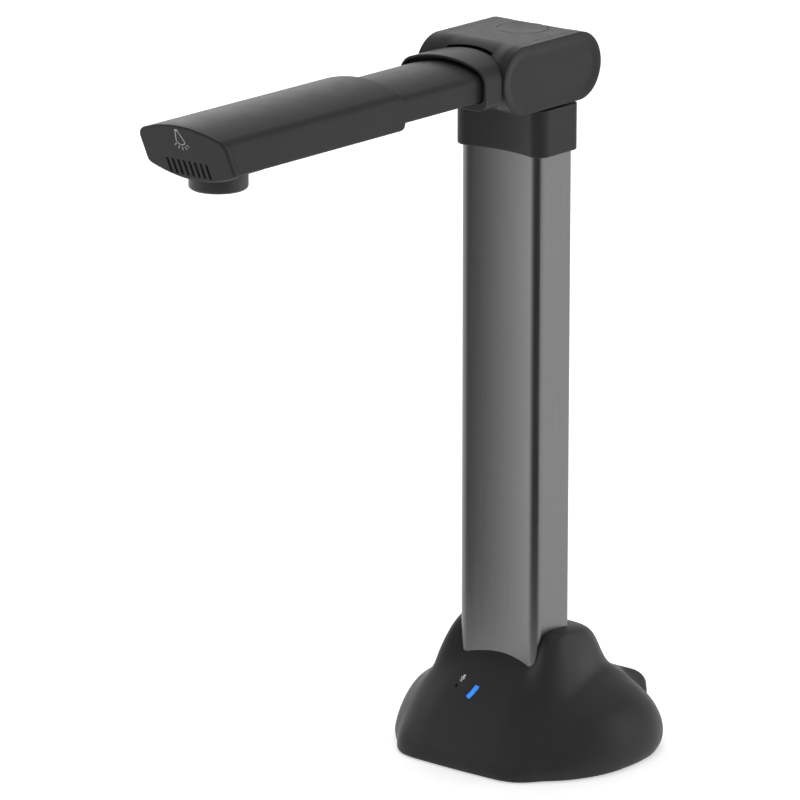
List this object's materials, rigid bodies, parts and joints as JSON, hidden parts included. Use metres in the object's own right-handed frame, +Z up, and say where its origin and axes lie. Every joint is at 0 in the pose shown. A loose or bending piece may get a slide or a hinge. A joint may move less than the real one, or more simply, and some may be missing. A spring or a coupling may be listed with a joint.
{
  "type": "book scanner",
  "caption": "Free-standing document camera: weighted base, dished aluminium column, folding arm with a sliding camera head, lens and lamp facing down.",
  "frame": {"origin": "on the desk, directly under the column's axis, in the plane of the rubber sole", "axes": "+Z up along the column; the arm reaches towards -Y; X runs across the width and x = 0 is the mirror plane"},
  "size_m": [0.1266, 0.3102, 0.3466],
  "materials": {
    "plastic_satin": "satin moulded plastic, fine texture",
    "plastic_black": "matte moulded plastic",
    "trim_black": "matte black",
    "anodised_grey": "satin dark grey anodised",
    "rubber_black": "matte rubber",
    "screw_steel": "plain",
    "plated_steel": "plated",
    "cast_weight": "as cast",
    "board_green": "solder mask on glass epoxy",
    "light_blue": "translucent, lit blue",
    "cable_black": "flat cable jacket",
    "pad_nylon": "plain nylon",
    "chip_dark": "glossy",
    "barrel_black": "matte black",
    "ring_black": "satin black",
    "clear_glass": "polished",
    "diffuser_white": "translucent white",
    "copper_foil": "plain foil"
  },
  "bodies": {
    "base": {"rubber_sole": "rubber_black", "base_plate": "plastic_black", "base_screws": "screw_steel", "base_shell": "plastic_satin", "ballast_weights": "cast_weight", "column_bracket": "plated_steel", "bracket_screws": "screw_steel", "main_board": "board_green", "board_screws": "screw_steel", "usb_port": "plated_steel", "status_light": "light_blue", "microphone": "plated_steel", "column": "anodised_grey", "column_cable": "cable_black", "column_collar": "plastic_satin", "head_housing": "plastic_satin", "end_cap_left": "plastic_satin", "end_cap_right": "plastic_satin", "hinge_pin": "plated_steel", "friction_discs": "plated_steel", "button_board": "board_green"},
    "capture_button": {"capture_button": "plastic_satin"},
    "arm": {"arm_knuckle": "plastic_satin", "mouth_trim": "trim_black", "arm_bar": "plastic_satin", "arm_cable": "cable_black"},
    "camera_head": {"slide_pads": "pad_nylon", "camera_sleeve": "plastic_satin", "front_cap": "plastic_satin", "bottom_cover": "plastic_satin", "cover_screws": "screw_steel", "camera_board": "board_green", "image_sensor": "chip_dark", "lens_barrel": "barrel_black", "lens_ring": "ring_black", "lens_window": "clear_glass", "lamp_board": "board_green", "lamp_lens": "diffuser_white", "touch_pad": "copper_foil"}
  },
  "joints": [
    {"name": "arm_fold", "type": "hinge", "parent": "base", "child": "arm", "pos_m": [0, -0.024, 0.3306], "axis": [1, 0, 0], "range_deg": [0, 85]},
    {"name": "camera_slide", "type": "slide", "parent": "arm", "child": "camera_head", "axis": [0, 1, 0], "range_m": [0, 0.04]},
    {"name": "button_press", "type": "slide", "parent": "base", "child": "capture_button", "axis": [0, 0, -1], "range_m": [0, 0.0008], "stiffness_N_per_m": 1500}
  ]
}
